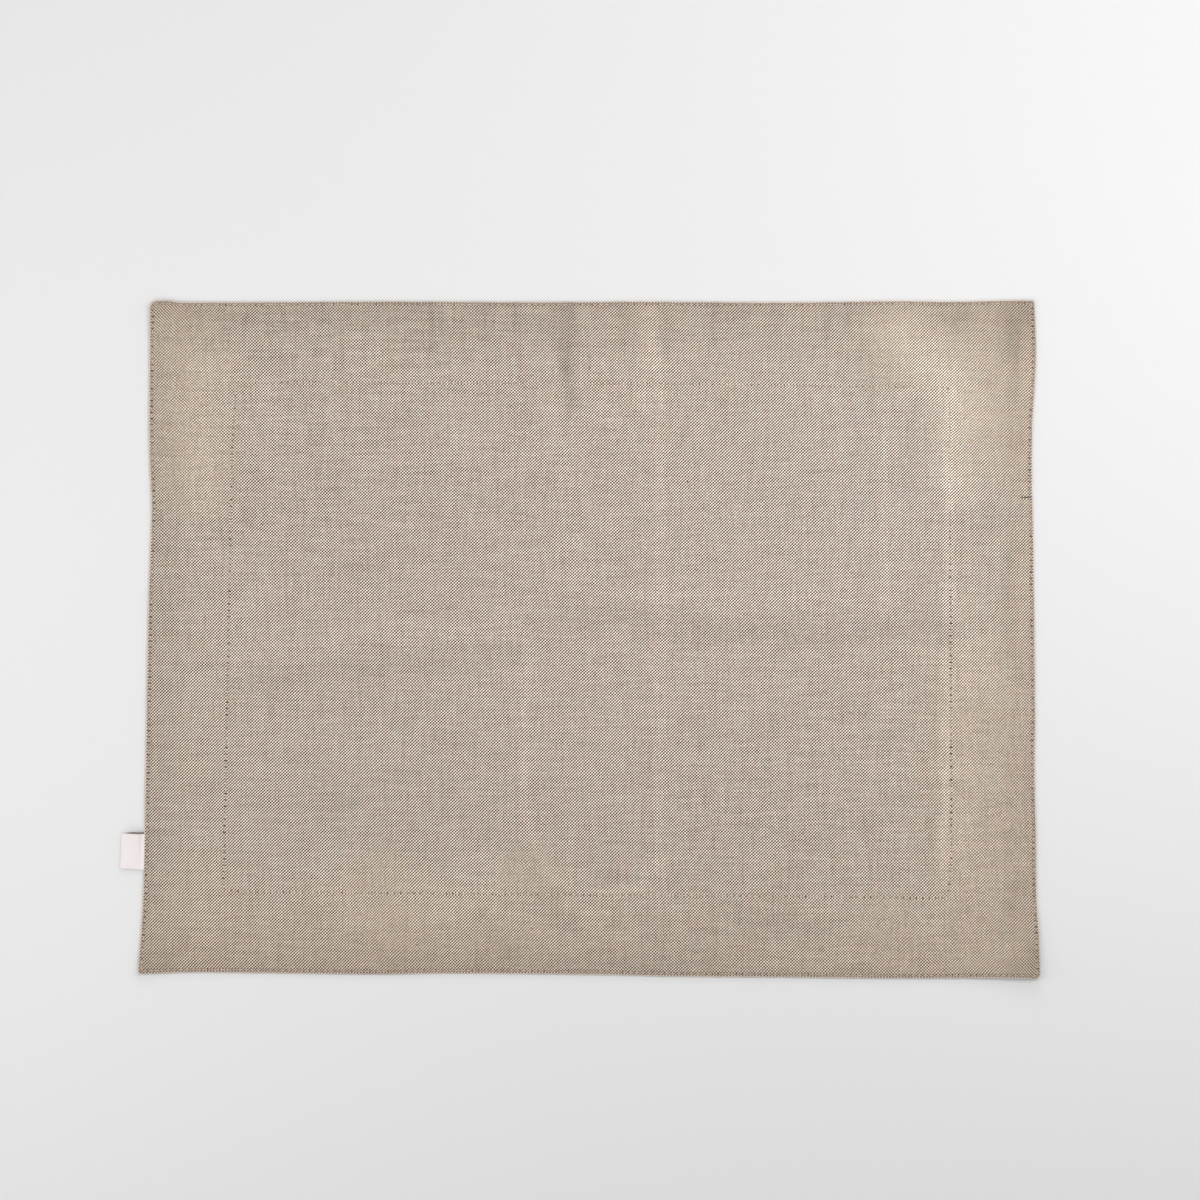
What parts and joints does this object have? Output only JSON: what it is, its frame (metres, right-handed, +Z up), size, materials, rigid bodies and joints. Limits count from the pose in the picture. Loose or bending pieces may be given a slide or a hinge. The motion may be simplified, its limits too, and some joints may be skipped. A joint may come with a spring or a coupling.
{
  "type": "cloth placemat",
  "caption": "Flat rectangular cloth placemat in two-tone plain weave, stitched round the edge and along an inner line, with a small bare folded label in one side seam.",
  "frame": {"origin": "middle of the mat's underside, on the surface that it lies on", "axes": "+X along the long side, away from the label; +Y across the mat to its far long side; +Z up"},
  "size_m": [0.5153, 0.3803, 0.0054],
  "materials": {
    "mat_cloth": "plain-weave cotton and linen cloth, cream and taupe yarns, matt",
    "label_tape": "fine woven satin tape, off-white, soft sheen"
  },
  "bodies": {
    "root": {"mat": "mat_cloth", "label": "label_tape"}
  },
  "joints": []
}
